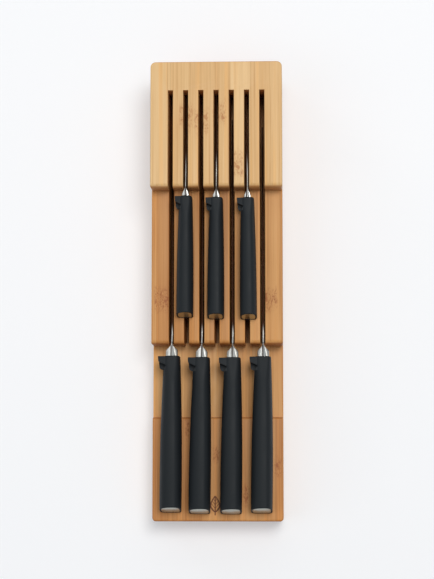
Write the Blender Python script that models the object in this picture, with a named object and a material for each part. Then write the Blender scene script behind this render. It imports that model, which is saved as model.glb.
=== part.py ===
"""Flat bamboo knife block for a drawer, with seven knives lying in it.

Three steps of bamboo board carry seven parallel slots. Four large knives lie with their handles
on the low front board, and three small ones, in the slots between, with theirs on the middle step.
Frame: +Z up, +Y towards the high back step, handles towards -Y, origin under the middle.
"""

import math

import bmesh
import bpy

MM = 0.001
GAP = 0.3  # clearance kept between touching pieces
TAU = 2 * math.pi

# Block, in millimetres
BLOCK_LENGTH = 397.0
BLOCK_WIDTH = 114.0
FOOT_TOP = 2.0
CORE_BOTTOM = 10.0
CORE_TOP = 28.0
FRONT_REST_TOP = 36.0
MIDDLE_TOP = 54.0
TOP_TOP = 74.0
BACK_Y = BLOCK_LENGTH / 2
FRONT_Y = -BLOCK_LENGTH / 2
FRONT_REST_BACK_Y = -108.5
MIDDLE_FRONT_Y = -46.0
TOP_FRONT_Y = 88.2
NOSE_RADIUS = 4.3  # rounded front edge of the two upper steps
EASED_RADIUS = 1.2
FOOT_RADIUS = 6.0
FOOT_INSET = 14.0

# Slots
SLOT_COUNT = 7
SLOT_PITCH = 13.2
SLOT_WIDTH = 4.4
SLOT_END_TOP_Y = 173.3
SLOT_END_DEEP_Y = 180.0
CORE_SLOT_FRONT_Y = -43.3
FRONT_CORNER = 3.0  # plan corners of the lower boards' front and of every board's back
BACK_CORNER = 4.6
STEP_CORNER = 1.5  # plan corners of the two upper steps' fronts
REST_BACK_CORNER = 0.8
REST_EDGES = (2.0, EASED_RADIUS, 2.4)  # top edges of the front rest board

# The knives' two handle sizes. Heights are above the drawer's floor; "front_y" is the handle's front.
# "left" is the half-width in front and the flare behind it, "right" the half-width, slope and bulge;
# "tab" is the side tab's reach and length, "bolster" the half-widths of its shoulders and its flanks,
# "tang" the length, height and thickness, and "slug" the balance weight's radius and length.
LARGE = {
    "front_y": -57.3,
    "top_length": 129.5,
    "slant": 0.22,
    "rest_z": FRONT_REST_TOP + GAP,
    "height": 24.7,
    "left": (7.2, 4.3),
    "right": (6.75, 0.3, 0.85),
    "tab": (11.8, 11.4),
    "neck_y": -45.0,
    "heel_y": -42.3,
    "spine_z": 52.2,
    "spine_dip": 3.0,
    "spine_slope": 0.03,
    "neck_z": 53.3,
    "ridge_z": 58.4,
    "bolster": (5.3, 2.8),
    "spine_half": 0.75,
    "tang": (52.0, 15.0, 3.2),
    "slug": (5.6, 27.0),
}
SMALL = {
    "front_y": 79.8,
    "top_length": 100.6,
    "slant": 0.18,
    "rest_z": MIDDLE_TOP + GAP,
    "height": 20.4,
    "left": (5.8, 2.45),
    "right": (5.45, 0.8, 0.45),
    "tab": (9.4, 10.6),
    "neck_y": 88.4,
    "heel_y": 91.0,
    "spine_z": 71.4,
    "spine_dip": 1.8,
    "spine_slope": 0.06,
    "neck_z": 72.4,
    "ridge_z": 73.9,
    "bolster": (3.1, 2.0),
    "spine_half": 0.5,
    "tang": (42.0, 10.0, 2.4),
    "slug": (4.2, 21.0),
}
CAP_INSET = 1.0
CAP_DEPTH = 3.0
CROWN_POWER = 2.35  # roundness of a handle's section above its middle: 2 is an ellipse
BELLY_POWER = 5.0  # and below it
FRONT_POWER = 4.2  # and all round at the square front end
DIP_LENGTH = 10.0  # how fast a spine falls by its dip behind the heel
HANDLE_POINTS = 22
TANG_CLEARANCE = 0.4

# name, slot, handle size, blade length, blade height, tip height above edge, edge curve power,
# spine curve power, scallop pitch (0 is a plain edge), how far it lies back, and its turn in degrees
KNIVES = (
    ("santoku_knife", 1, LARGE, 166.0, 38.5, 5.0, 5.0, 7.0, 0.0, 1.2, 0.35),
    ("paring_knife", 2, SMALL, 77.0, 16.6, 6.0, 2.6, 1.6, 0.0, 1.3, 0.0),
    ("chef_knife", 3, LARGE, 198.0, 39.0, 13.0, 3.0, 3.0, 0.0, 0.0, 0.0),
    ("utility_knife", 4, SMALL, 80.0, 16.8, 8.5, 3.0, 2.4, 0.0, 0.0, 0.1),
    ("bread_knife", 5, LARGE, 198.0, 33.0, 13.0, 8.0, 5.0, 9.0, -0.2, 0.2),
    ("tomato_knife", 6, SMALL, 79.0, 16.2, 7.0, 4.0, 1.8, 5.0, -0.4, 0.8),
    ("carving_knife", 7, LARGE, 190.0, 30.0, 11.0, 4.0, 2.6, 0.0, 0.6, 0.2),
)
SCALLOP_DEPTH = 1.6
EDGE_HALF = 0.15
FLANK_SLOPE = 0.5  # fall of a bolster's flank from its ridge

BAMBOO = ((0.62, 0.40, 0.19, 1.0), 0.5, 0.0)
SOFT_BLACK = ((0.027, 0.031, 0.034, 1.0), 0.55, 0.0)
STEEL = ((0.62, 0.63, 0.62, 1.0), 0.25, 1.0)
SLUG_STEEL = ((0.35, 0.35, 0.36, 1.0), 0.5, 1.0)
SILICONE = ((0.55, 0.56, 0.55, 1.0), 0.7, 0.0)


def clear_scene():
    for obj in list(bpy.data.objects):
        bpy.data.objects.remove(obj, do_unlink=True)


def material(name, look):
    found = bpy.data.materials.get(name)
    if found:
        return found
    colour, roughness, metallic = look
    made = bpy.data.materials.new(name)
    made.use_nodes = True
    shader = made.node_tree.nodes["Principled BSDF"]
    shader.inputs["Base Color"].default_value = colour
    shader.inputs["Roughness"].default_value = roughness
    shader.inputs["Metallic"].default_value = metallic
    made.diffuse_color = colour
    return made


def slot_x(number):
    """Centre of slot 1 (left) to 7 (right)."""
    return (number - (SLOT_COUNT + 1) / 2) * SLOT_PITCH


def add_object(name, bm, look=None, parent=None):
    """A new object from millimetre geometry in the block's frame, its origin on its parent's."""
    bmesh.ops.recalc_face_normals(bm, faces=bm.faces)
    origin = parent.location if parent else (0.0, 0.0, 0.0)
    for vert in bm.verts:
        vert.co = [value * MM - start for value, start in zip(vert.co, origin)]
    mesh = bpy.data.meshes.new(name)
    bm.to_mesh(mesh)
    bm.free()
    obj = bpy.data.objects.new(name, mesh)
    bpy.context.scene.collection.objects.link(obj)
    obj.parent = parent
    if look:
        mesh.materials.append(material(*look))
        mesh.shade_smooth()
        mesh.set_sharp_from_angle(angle=math.radians(35))
    else:
        obj.hide_render = True
        obj.display_type = "WIRE"
    return obj


def combine(target, tool, operation):
    modifier = target.modifiers.new(tool.name, "BOOLEAN")
    modifier.object = tool
    modifier.operation = operation
    modifier.solver = "EXACT"


def add_loft(bm, rings):
    """Skins rings of points, given in order, and closes both ends."""
    loops = [[bm.verts.new(point) for point in ring] for ring in rings]
    count = len(loops[0])
    for near, far in zip(loops, loops[1:]):
        for i in range(count):
            j = (i + 1) % count
            bm.faces.new((near[i], near[j], far[j], far[i]))
    bm.faces.new(loops[0])
    bm.faces.new(reversed(loops[-1]))


def add_box(bm, low, high):
    corners = [(low[0], low[1]), (high[0], low[1]), (high[0], high[1]), (low[0], high[1])]
    add_loft(bm, [[(x, y, z) for x, y in corners] for z in (low[2], high[2])])


def add_cylinder(bm, centre, radius, y_low, y_high, chamfer=0.0, sides=16):
    """A cylinder along Y about the point (x, z)."""
    steps = [(y_low, chamfer), (y_low + chamfer, 0.0), (y_high - chamfer, 0.0), (y_high, chamfer)]
    if not chamfer:
        steps = [(y_low, 0.0), (y_high, 0.0)]
    rings = []
    for y, shrink in steps:
        reach = radius - shrink
        turns = [TAU * i / sides for i in range(sides)]
        rings.append([(centre[0] + reach * math.cos(a), y, centre[1] + reach * math.sin(a)) for a in turns])
    add_loft(bm, rings)


# ---------------------------------------------------------------- boards


def board_ring(y_low, y_high, corner, insets, heights, steps=4):
    """A rounded rectangle; insets and heights are (front, side, back) and blend round each corner."""
    front, side, back = insets
    x = BLOCK_WIDTH / 2 - side
    low, high = y_low + front, y_high - back
    points = []
    for sign_x, sign_y, start in ((1, -1, -90), (1, 1, 0), (-1, 1, 90), (-1, -1, 180)):
        end_inset = front if sign_y < 0 else back
        radius = max(corner[0 if sign_y < 0 else 1] - min(side, end_inset), 0.25)
        centre_x = sign_x * (x - radius)
        centre_y = low + radius if sign_y < 0 else high - radius
        for i in range(steps + 1):
            turn = math.radians(start + 90 * i / steps)
            blend = abs(math.sin(turn))
            z = heights[1] + blend * (heights[0 if sign_y < 0 else 2] - heights[1])
            points.append((centre_x + radius * math.cos(turn), centre_y + radius * math.sin(turn), z))
    return points


def add_board(bm, y_low, y_high, z_low, z_high, corner, top_radii, steps=4):
    """A board with plan corners (front, back) and top edges rounded by (front, side, back) radii."""
    eased = 0.5
    rings = [
        board_ring(y_low, y_high, corner, (eased,) * 3, (z_low,) * 3),
        board_ring(y_low, y_high, corner, (0.0,) * 3, (z_low + eased,) * 3),
    ]
    for i in range(steps + 1):
        turn = math.pi / 2 * i / steps
        insets = [radius * (1 - math.cos(turn)) for radius in top_radii]
        heights = [z_high - radius * (1 - math.sin(turn)) for radius in top_radii]
        rings.append(board_ring(y_low, y_high, corner, insets, heights))
    add_loft(bm, rings)


def make_board(name, y_low, y_high, z_low, z_high, corner, top_radii):
    bm = bmesh.new()
    add_board(bm, y_low, y_high, z_low, z_high, corner, top_radii)
    return add_object(name, bm, ("bamboo", BAMBOO))


def cut_slots(board, slots, y_low, y_high):
    bm = bmesh.new()
    for number in slots:
        x = slot_x(number)
        add_box(bm, (x - SLOT_WIDTH / 2, y_low, 0.0), (x + SLOT_WIDTH / 2, y_high, TOP_TOP + 20.0))
    combine(board, add_object(f"cut_{board.name}_slots", bm), "DIFFERENCE")


def make_block():
    nosed = (NOSE_RADIUS, EASED_RADIUS, EASED_RADIUS)
    every = range(1, SLOT_COUNT + 1)
    low_ends = (FRONT_CORNER, BACK_CORNER)
    step_ends = (STEP_CORNER, BACK_CORNER)
    make_board("base_board", FRONT_Y, BACK_Y, FOOT_TOP, CORE_BOTTOM, low_ends, (0.4, 0.4, 0.4))
    core = make_board("core_board", FRONT_Y, BACK_Y, CORE_BOTTOM + GAP, CORE_TOP, low_ends, (0.4, 0.6, 0.4))
    cut_slots(core, every, CORE_SLOT_FRONT_Y, SLOT_END_DEEP_Y)
    rest = (FRONT_Y, FRONT_REST_BACK_Y, CORE_TOP + GAP, FRONT_REST_TOP)
    make_board("front_rest_board", *rest, (FRONT_CORNER, REST_BACK_CORNER), REST_EDGES)
    middle = make_board("middle_board", MIDDLE_FRONT_Y, BACK_Y, CORE_TOP + GAP, MIDDLE_TOP, step_ends, nosed)
    cut_slots(middle, every, MIDDLE_FRONT_Y - 10.0, SLOT_END_DEEP_Y)
    top = make_board("top_board", TOP_FRONT_Y, BACK_Y, MIDDLE_TOP + GAP, TOP_TOP, step_ends, nosed)
    cut_slots(top, every, TOP_FRONT_Y - 10.0, SLOT_END_TOP_Y)


def make_foot(name, x, y):
    bm = bmesh.new()
    rings = []
    for z, shrink in ((0.0, 0.5), (0.5, 0.0), (FOOT_TOP - GAP, 0.0)):
        turns = [TAU * i / 20 for i in range(20)]
        reach = FOOT_RADIUS - shrink
        rings.append([(x + reach * math.cos(a), y + reach * math.sin(a), z) for a in turns])
    add_loft(bm, rings)
    add_object(name, bm, ("silicone", SILICONE))


def make_feet():
    x = BLOCK_WIDTH / 2 - FOOT_INSET
    y = BLOCK_LENGTH / 2 - FOOT_INSET
    for name, sign_x, sign_y in (
        ("foot_front_left", -1, -1),
        ("foot_front_right", 1, -1),
        ("foot_back_left", -1, 1),
        ("foot_back_right", 1, 1),
    ):
        make_foot(name, sign_x * x, sign_y * y)


# ---------------------------------------------------------------- handles


def handle_extents(size, s):
    """Left and right half-widths and low and high z of a handle, at share s of its length."""
    start, flare = size["left"]
    left = start + flare * (1 - (1 - s) ** 1.8)
    base, slope, bulge = size["right"]
    right = base + slope * s + bulge * math.sin(math.pi * s)
    arch = 0.06 * size["height"]
    waist = math.sin(math.pi * min(max((s - 0.04) / 0.72, 0.0), 1.0)) ** 2
    low = size["rest_z"] + arch * waist
    high = size["rest_z"] + size["height"] - arch * (1 - math.sin(math.pi * (0.15 + 0.7 * s)))
    return left, right, low, high


def handle_y(size, s, z, back=0.0):
    """Y of share s of the length at height z: the front is upright and the butt slants."""
    butt = size["front_y"] - size["top_length"]
    butt -= size["slant"] * (size["rest_z"] + size["height"] - z)
    return size["front_y"] + s * (butt - size["front_y"]) + back


def handle_ring(size, x, s, inset, back=0.0, points=HANDLE_POINTS):
    """A cross-section, drawn in by inset and moved back towards the blade."""
    left, right, low, high = handle_extents(size, s)
    middle = (low + high) / 2
    half = (high - low) / 2 - inset
    squareness = math.exp(-((s / 0.1) ** 2))
    ring = []
    for i in range(points):
        turn = TAU * (i + 0.5) / points
        round_power = CROWN_POWER if math.sin(turn) > 0 else BELLY_POWER
        power = 2 / (round_power + (FRONT_POWER - round_power) * squareness)
        across = math.copysign(abs(math.cos(turn)) ** power, math.cos(turn))
        up = math.copysign(abs(math.sin(turn)) ** power, math.sin(turn))
        reach = (right if across > 0 else left) - inset
        z = middle + up * half
        ring.append((x + across * reach, handle_y(size, s, z, back), z))
    return ring


def add_prism(bm, outline, z_low, z_high):
    add_loft(bm, [[(x, y, z) for x, y in outline] for z in (z_low, z_high)])


def tool_rest_outline(size, x):
    """The side tab in plan: square in front, its outer edge leaning in, rounded behind."""
    reach, length = size["tab"]
    front = size["front_y"]
    return [
        (x - 4.0, front - 0.4),
        (x - reach + 0.4, front - 0.4),
        (x - reach, front - 0.9),
        (x - reach + 0.8, front - 0.84 * length),
        (x - reach + 1.3, front - 0.94 * length),
        (x - reach + 2.4, front - 0.99 * length),
        (x - reach + 4.2, front - 1.04 * length),
        (x - 4.0, front - 1.12 * length),
    ]


def scoop_outline(size, x):
    """What is cut from the tab's top behind its front plate, on a slanting line."""
    reach, length = size["tab"]
    front = size["front_y"]
    return [
        (x - reach - 1.5, front - 0.3 * length),
        (x - 0.4 * reach, front - 0.68 * length),
        (x - 0.56 * reach, front - 0.95 * length),
        (x - 0.62 * reach, front - 1.5 * length),
        (x - reach - 1.5, front - 1.5 * length),
    ]


def make_handle(name, size, x, parent):
    bm = bmesh.new()
    stations = [(0.0, 0.7), (0.006, 0.0), (0.08, 0.0), (0.18, 0.0), (0.3, 0.0), (0.44, 0.0)]
    stations += [(0.58, 0.0), (0.72, 0.0), (0.86, 0.0), (0.992, 0.0), (1.0, 0.6)]
    add_loft(bm, [handle_ring(size, x, s, inset) for s, inset in stations])
    handle = add_object(name, bm, ("soft_black", SOFT_BLACK), parent)
    top = size["rest_z"] + size["height"]
    bm = bmesh.new()
    add_prism(bm, tool_rest_outline(size, x), top - 0.68 * size["height"], top - 1.5)
    combine(handle, add_object(f"add_{name}_tab", bm, None, parent), "UNION")
    bm = bmesh.new()
    add_prism(bm, scoop_outline(size, x), top - 0.42 * size["height"], top + 5.0)
    combine(handle, add_object(f"cut_{name}_scoop", bm, None, parent), "DIFFERENCE")
    bm = bmesh.new()
    add_tang(bm, size, x, TANG_CLEARANCE, 4.0)
    combine(handle, add_object(f"cut_{name}_tang", bm, None, parent), "DIFFERENCE")
    bm = bmesh.new()
    add_loft(bm, [handle_ring(size, x, 1.0, CAP_INSET, back) for back in (-2.0, CAP_DEPTH)])
    combine(handle, add_object(f"cut_{name}_recess", bm, None, parent), "DIFFERENCE")
    bm = bmesh.new()
    add_slug(bm, size, x, GAP, 6.0)
    combine(handle, add_object(f"cut_{name}_bore", bm, None, parent), "DIFFERENCE")


def slug_place(size, x):
    """Centre of the slug across the handle, and the Y of its end next to the cap."""
    left, right, low, high = handle_extents(size, 1.0)
    middle = (low + high) / 2
    deepest = handle_y(size, 1.0, high, CAP_DEPTH)
    return (x + (right - left) / 2, middle), deepest


def add_slug(bm, size, x, clearance, past):
    """The balance weight, or with a clearance the bore that holds it."""
    centre, butt = slug_place(size, x)
    radius, length = size["slug"]
    add_cylinder(bm, centre, radius + clearance, butt - past, butt + length + clearance, 0.0 if past else 0.8)


def make_weight(name, size, x, parent):
    bm = bmesh.new()
    add_slug(bm, size, x, 0.0, 0.0)
    add_object(name, bm, ("slug_steel", SLUG_STEEL), parent)


def make_end_cap(name, size, x, parent):
    """A domed plate that fills the recess in the butt, square to its slant."""
    fit = CAP_INSET + GAP
    steps = ((CAP_DEPTH - GAP, fit), (0.5, fit), (0.0, fit + 0.5), (-0.4, fit + 2.6))
    bm = bmesh.new()
    add_loft(bm, [handle_ring(size, x, 1.0, inset, back) for back, inset in steps])
    add_object(name, bm, ("steel", STEEL), parent)


# ---------------------------------------------------------------- blades


def add_tang(bm, size, x, clearance, past):
    """The flat tang inside the handle, or with a clearance the pocket that holds it."""
    length, height, thick = size["tang"]
    middle = size["rest_z"] + 0.52 * size["height"]
    half_x = thick / 2 + clearance
    half_z = height / 2 + clearance
    low = (x - half_x, size["front_y"] - length - clearance, middle - half_z)
    high = (x + half_x, size["front_y"] + past, middle + half_z)
    add_box(bm, low, high)


def blade_ring(x, y, spine, edge, half):
    """A blade's section of ten points: spine, cheeks and edge."""
    height = spine - edge
    side = [
        (half, spine),
        (half, spine - min(0.6, 0.3 * height)),
        (0.8 * half, edge + 0.5 * height),
        (0.5 * half, edge + 0.12 * height),
        (EDGE_HALF, edge),
    ]
    return mirrored(x, y, side)


def bolster_ring(x, y, top, low, half, flank, body):
    """A bolster's section: ridge, flanks sloping to the shoulders, and a rounder body below."""
    height = top - low
    side = [
        (half, top),
        (flank, top - FLANK_SLOPE * (flank - half) - 0.1),
        (body, top - 0.24 * height),
        (body, low + 0.2 * height),
        (0.45 * body, low),
    ]
    return mirrored(x, y, side)


def mirrored(x, y, side):
    """A whole section from (across, z) points down its right side."""
    right = [(x + across, y, z) for across, z in side]
    left = [(x - across, y, z) for across, z in reversed(side)]
    return right + left


def spine_line(size, d):
    """The spine's height at distance d from the heel, before it curves down to the tip."""
    return size["spine_z"] - size["spine_dip"] * (1 - math.exp(-d / DIP_LENGTH)) - size["spine_slope"] * d


def blade_outline(knife, d):
    """Spine and edge heights at distance d from the heel."""
    size, length, height, tip, edge_power, spine_power, scallop = knife[2:9]
    share = min(d / length, 1.0)
    heel = size["spine_z"] - height
    edge = heel + (tip - 0.6) * share**edge_power
    spine = spine_line(size, d) - (spine_line(size, length) - heel - tip) * share**spine_power
    if scallop and share < 0.93:
        edge += SCALLOP_DEPTH * abs(math.sin(math.pi * d / scallop)) - 0.5 * SCALLOP_DEPTH
    return spine, edge


def blade_stations(knife):
    """Distances from the heel: even steps, closer towards the tip and along scallops."""
    length, scallop = knife[3], knife[8]
    if scallop:
        count = round(0.93 * length / scallop) * 3
        even = [0.93 * length * i / count for i in range(count)]
    else:
        even = [0.8 * length * i / 6 for i in range(6)]
    start = 0.93 if scallop else 0.8
    near_tip = [length * (start + (1 - start) * math.sin(math.pi / 2 * i / 5)) for i in range(6)]
    return even + near_tip


def bolster_rings(size, x):
    """From the handle's front to the neck behind the blade's heel, flaring like a bell."""
    neck, front = size["neck_y"], size["front_y"] + GAP
    low_neck = size["rest_z"] + 0.22 * size["height"]
    low_front = size["rest_z"] + 0.16 * size["height"]
    full, flank_full = size["bolster"]
    rings = []
    for share in (1.0, 0.8, 0.62, 0.5, 0.38, 0.2, 0.0):
        swell = min(max((share - 0.25) / 0.37, 0.0), 1.0)
        swell = swell * swell * (3 - 2 * swell)
        flank = size["spine_half"] + (flank_full - size["spine_half"]) * share**1.2
        body = flank + (full - flank) * swell
        half = size["spine_half"] * (1 - 0.6 * share)
        top = size["neck_z"] + (size["ridge_z"] - size["neck_z"]) * share**0.8
        low = low_neck + (low_front - low_neck) * share
        rings.append(bolster_ring(x, neck + (front - neck) * share, top, low, half, flank, body))
    return rings


def make_blade(name, knife, x, parent):
    size, height = knife[2], knife[4]
    rings = bolster_rings(size, x)
    heel_edge = size["spine_z"] - height
    neck_low = size["rest_z"] + 0.22 * size["height"]
    half = size["spine_half"]
    for share in (0.0, 0.6, 1.0):
        y = size["heel_y"] - 1.6 * (1 - share)
        edge = min(neck_low + (heel_edge - neck_low) * share**2, neck_low)
        top = size["spine_z"] + 0.6 * (size["neck_z"] - size["spine_z"]) * (1 - share)
        rings.append(blade_ring(x, y, top, edge, half))
    for d in blade_stations(knife)[1:]:
        spine, edge = blade_outline(knife, d)
        thin = half * (1 - 0.4 * (d / knife[3]) ** 2)
        rings.append(blade_ring(x, size["heel_y"] + d, spine, edge, thin))
    bm = bmesh.new()
    add_loft(bm, rings)
    blade = add_object(name, bm, ("steel", STEEL), parent)
    bm = bmesh.new()
    add_tang(bm, size, x, 0.0, 2.0)
    combine(blade, add_object(f"add_{name}_tang", bm, None, parent), "UNION")


def make_knife(knife):
    """One knife's pieces, on an empty at the middle of its blade, then laid a little back and turned."""
    name, slot, size, length = knife[:4]
    lies_back, turn = knife[9:]
    x = slot_x(slot)
    axis = bpy.data.objects.new(f"{name}_lift_axis", None)
    axis.location = (x * MM, (size["heel_y"] + length / 2) * MM, size["spine_z"] * MM)
    bpy.context.scene.collection.objects.link(axis)
    make_blade(f"{name}_blade", knife, x, axis)
    make_handle(f"{name}_handle", size, x, axis)
    make_weight(f"{name}_weight", size, x, axis)
    make_end_cap(f"{name}_end_cap", size, x, axis)
    axis.location.y += lies_back * MM
    axis.rotation_euler.z = math.radians(turn)


def main():
    clear_scene()
    make_feet()
    make_block()
    for knife in KNIVES:
        make_knife(knife)


main()
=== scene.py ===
"""Looks for the drawer knife block: bamboo boards, moulded handles, ground blades, light and camera."""

import math
from collections import namedtuple

import bmesh
import bpy
from mathutils import Matrix, Vector


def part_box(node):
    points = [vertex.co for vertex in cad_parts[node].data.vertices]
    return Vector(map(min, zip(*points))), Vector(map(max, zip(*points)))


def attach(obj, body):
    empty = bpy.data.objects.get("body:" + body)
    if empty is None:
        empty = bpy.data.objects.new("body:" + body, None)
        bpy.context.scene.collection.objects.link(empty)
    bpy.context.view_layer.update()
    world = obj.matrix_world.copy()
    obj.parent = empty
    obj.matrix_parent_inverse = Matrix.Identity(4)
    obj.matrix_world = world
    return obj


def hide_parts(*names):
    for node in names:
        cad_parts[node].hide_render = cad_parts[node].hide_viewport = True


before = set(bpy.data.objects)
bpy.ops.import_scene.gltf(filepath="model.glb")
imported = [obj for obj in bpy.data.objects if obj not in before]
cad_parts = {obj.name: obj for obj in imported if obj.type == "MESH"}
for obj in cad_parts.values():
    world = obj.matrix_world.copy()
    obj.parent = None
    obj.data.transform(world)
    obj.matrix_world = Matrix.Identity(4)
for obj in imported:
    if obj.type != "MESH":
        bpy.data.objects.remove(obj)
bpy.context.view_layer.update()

MM = 0.001
TAU = 2 * math.pi
SHARP_ANGLE = 35.0  # edges steeper than this stay sharp, in degrees

# ---------------------------------------------------------------- sizes, in millimetres

GAP = 0.3  # clearance kept between touching pieces

# Boards
HALF_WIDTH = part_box("core_board")[1][0] / MM  # of every board
NOSE_RADIUS = 4.3  # rounded front edge of the two upper steps
EASED_RADIUS = 1.2
BOTTOM_RADIUS = 0.5
FRONT_CORNER = 3.0  # plan corners of the lower boards' front
BACK_CORNER = 4.6  # and of the boards' back
STEP_CORNER = 1.5  # and of the two upper steps' front
REST_BACK_CORNER = 0.8
REST_EDGES = (2.0, EASED_RADIUS, 2.4)  # top edges of the front rest board
SMALLEST_CORNER = 0.25
CURVE_STEPS = 9  # parts of a quarter turn on a board's corners and edges
LAYER = 6.4  # thickness of the bamboo layers seen on a board's sides

# Slots
SLOT_COUNT = 7
SLOT_WIDTH = 4.4
SLOT_PITCH = 13.2
SLOT_END_TOP_Y = 173.3
SLOT_END_DEEP_Y = 180.0
CORE_SLOT_FRONT_Y = -43.3
SLOT_MOUTH = 0.45  # easing of a slot's upper edges
CUTTER_PAST = 10.0  # how far a slot's cutter runs past its board

# (radius, height) from the shallow hollow in a foot's sole, across the sole and up its side
FOOT_PROFILE = ((1.6, 0.35), (2.1, 0.0), (5.3, 0.0), (5.8, 0.25), (6.0, 0.7), (6.0, 1.7))
FOOT_POINTS = 48

# The knives' two handle sizes. Heights are above the drawer's floor; "front_y" is the handle's front.
# "left" is the half-width in front and the flare behind it, "right" the half-width, slope and bulge;
# "tab" is the side tab's reach and length, "bolster" the half-widths of its shoulders and its flanks,
# "swell" the share of the bolster in which its shoulders swell out, "tang" the length, height and
# thickness, and "slug" the balance weight's radius and length.
LARGE = {
    "front_y": -57.3,
    "top_length": 129.5,
    "slant": 0.22,
    "rest_z": 36.3,
    "height": 24.7,
    "left": (7.2, 4.3),
    "right": (6.75, 0.3, 0.85),
    "tab": (11.8, 11.4),
    "neck_y": -45.0,
    "heel_y": -42.3,
    "spine_z": 52.2,
    "spine_dip": 3.0,
    "spine_slope": 0.03,
    "neck_z": 53.3,
    "ridge_z": 58.4,
    "bolster": (5.05, 2.8),
    "swell": 0.4,
    "spine_half": 0.75,
    "tang": (52.0, 15.0, 3.2),
    "slug": (5.6, 27.0),
}
SMALL = {
    "front_y": 79.8,
    "top_length": 100.6,
    "slant": 0.18,
    "rest_z": 54.3,
    "height": 20.4,
    "left": (5.8, 2.45),
    "right": (5.45, 0.8, 0.45),
    "tab": (9.4, 10.6),
    "neck_y": 88.4,
    "heel_y": 91.0,
    "spine_z": 71.4,
    "spine_dip": 1.8,
    "spine_slope": 0.06,
    "neck_z": 72.4,
    "ridge_z": 73.9,
    "bolster": (3.0, 1.8),
    "swell": 0.72,
    "spine_half": 0.5,
    "tang": (42.0, 10.0, 2.4),
    "slug": (4.2, 21.0),
}
CAP_INSET = 1.0
CAP_DEPTH = 3.0
CAP_RIM = 0.45  # how deep the plate's rounded rim starts
CAP_RADIUS = 0.35
CAP_DOME = 0.5
CROWN_POWER = 2.35  # roundness of a handle's section above its middle: 2 is an ellipse
BELLY_POWER = 5.0  # and below it
FRONT_POWER = 4.2  # and all round at the square front end
HANDLE_POINTS = 96
HANDLE_STEPS = 52
END_RADIUS = 0.7  # small radius where a handle's sides meet its front
BUTT_RADIUS = 0.8  # the one at its butt, as a share of the one in front
FRONT_BLEND = 0.1  # share of a handle's length in which its square front turns round
WAIST_START = 0.04  # share of its length where the waist below starts
WAIST_LENGTH = 0.72
ARCH = 0.06  # how far a handle is waisted, as a share of its height
TANG_MIDDLE = 0.52  # height of the tang's middle in the handle, as a share of its height
TANG_CLEARANCE = 0.4
BORE_POINTS = 32

# The tool-rest tab and the scoop cut from its top: depths below the handle's top, as shares of its height
TAB_DEPTH = 0.68
TAB_DROP = 1.5  # the tab's top below the handle's, in millimetres
TAB_RADIUS = 0.35
SCOOP_DEPTH = 0.42

# How far the cutters run out of a handle
TANG_PAST = 4.0
RECESS_PAST = 2.0
SCOOP_PAST = 5.0
BORE_PAST = 6.0

DIP_LENGTH = 10.0  # how fast a spine falls by its dip behind the heel
RIDGE_HALF = 0.22  # half-width of the narrow ridge along a bolster's top
RIDGE_DROP = 0.05  # how far the ridge's edges lie below its middle
FLANK_SLOPE = 0.5  # fall of a bolster's flank from its ridge
FLANK_STEPS = 5
VALLEY_DEPTH = 0.12  # the deepest valley between a flank and its shoulder
SWELL_START = 0.25  # share of a bolster's length, from the neck, where its shoulders start to swell
NECK_BLEND = 0.2  # and up to which the blade's section turns into the bolster's
BOLSTER_STEPS = 32
NECK_LOW = 0.22  # underside of a bolster at the neck, as a share of the handle's height
FRONT_LOW = 0.16  # and where it meets the handle
HEEL_LENGTH = 1.6  # from the neck's end to the blade's heel
HEEL_STEPS = 9
SPINE_RADIUS = 0.3
SIDE_POINTS = 20  # points down each side of a blade's section
BEVEL_HALF = 0.42  # half thickness where the cutting bevel starts
BEVEL_HEIGHT = 0.9  # or a fifth of a low blade's height
TIP_HEIGHT = 0.6  # what is left between spine and edge at the tip
TIP_THINNING = 0.4  # share of the spine's thickness lost by the tip
SCALLOP_DEPTH = 1.6
SCALLOPS_END = 0.93  # share of the blade's length where the scallops stop
TIP_START = 0.8  # and where a plain blade's sections come closer together
SCALLOP_STEPS = 8
PLAIN_STEPS = 60
TIP_STEPS = 24

# size is the handle's, length and height are the blade's, and tip is the point's height above the
# heel's edge. The powers bend the edge and the spine, and scallop is a pitch, 0 for a plain edge.
# back is how far the knife lies back in its slot, and turn how far it is turned, in degrees.
Knife = namedtuple("Knife", "name slot size length height tip edge_power spine_power scallop back turn")
KNIVES = (
    Knife("santoku_knife", 1, LARGE, 166.0, 38.5, 5.0, 5.0, 7.0, 0.0, 1.2, 0.35),
    Knife("paring_knife", 2, SMALL, 77.0, 16.6, 6.0, 2.6, 1.6, 0.0, 1.3, 0.0),
    Knife("chef_knife", 3, LARGE, 198.0, 39.0, 13.0, 3.0, 3.0, 0.0, 0.0, 0.0),
    Knife("utility_knife", 4, SMALL, 80.0, 16.8, 8.5, 3.0, 2.4, 0.0, 0.0, 0.1),
    Knife("bread_knife", 5, LARGE, 198.0, 33.0, 13.0, 8.0, 5.0, 9.0, -0.2, 0.2),
    Knife("tomato_knife", 6, SMALL, 79.0, 16.2, 7.0, 4.0, 1.8, 5.0, -0.4, 0.8),
    Knife("carving_knife", 7, LARGE, 190.0, 30.0, 11.0, 4.0, 2.6, 0.0, 0.6, 0.2),
)

# ---------------------------------------------------------------- light and camera, in metres

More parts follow.
